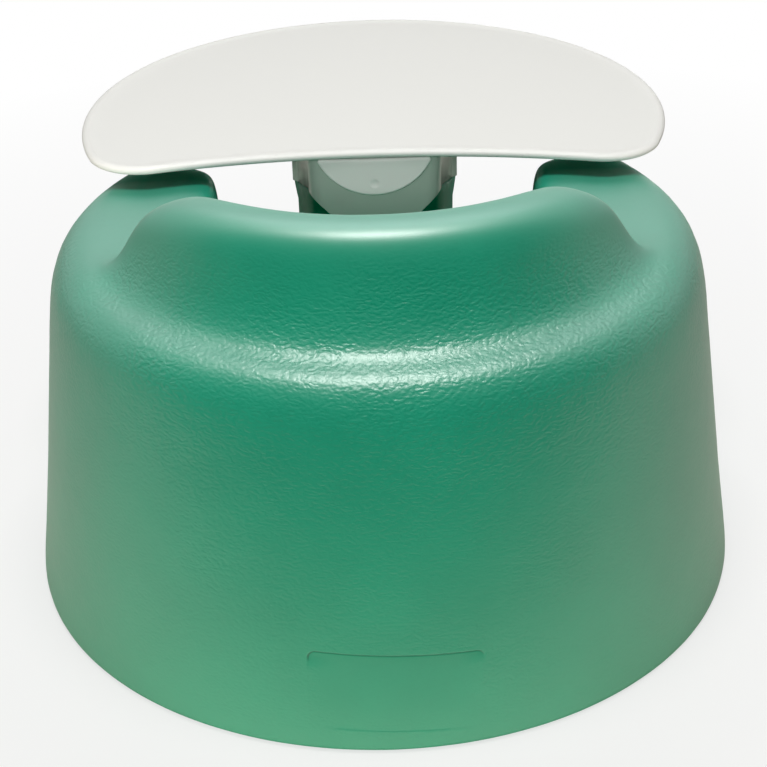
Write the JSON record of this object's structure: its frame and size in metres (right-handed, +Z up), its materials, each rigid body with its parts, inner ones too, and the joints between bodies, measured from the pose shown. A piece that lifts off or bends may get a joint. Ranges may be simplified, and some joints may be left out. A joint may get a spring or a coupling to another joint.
{
  "type": "baby floor seat with play tray",
  "caption": "Round one-piece foam floor seat with a low backrest, leg openings and a horn, and a lift-off play tray on a bracket that caps the horn.",
  "frame": {"origin": "on the floor at the middle of the seat's round base", "axes": "+Z up, -Y is the way the child faces (the tray overhangs it), +X to the child's left"},
  "size_m": [0.3796, 0.4769, 0.2415],
  "materials": {
    "foam": null,
    "tray_plastic": "warm off-white moulded plastic, softly glossy",
    "bracket_plastic": "pale grey-white moulded plastic, glossy enough to mirror the green foam"
  },
  "bodies": {
    "seat": {"foam_seat": "foam"},
    "bracket": {"tray_bracket": "bracket_plastic"},
    "tray": {"tray_top": "tray_plastic"},
    "tab": {"clip_tab": "tray_plastic"}
  },
  "joints": [
    {"name": "tray_lift", "type": "slide", "parent": "seat", "child": "bracket", "axis": [0, 0, 1], "range_m": [0, 0.09]},
    {"name": "top_release", "type": "slide", "parent": "bracket", "child": "tray", "axis": [0, 0, 1], "range_m": [0, 0.02]},
    {"name": "tab_flex", "type": "hinge", "parent": "tray", "child": "tab", "pos_m": [0, -0.0619, 0.1986], "axis": [1, 0, 0], "range_deg": [0, 8], "stiffness_Nm_per_rad": 0.02}
  ]
}
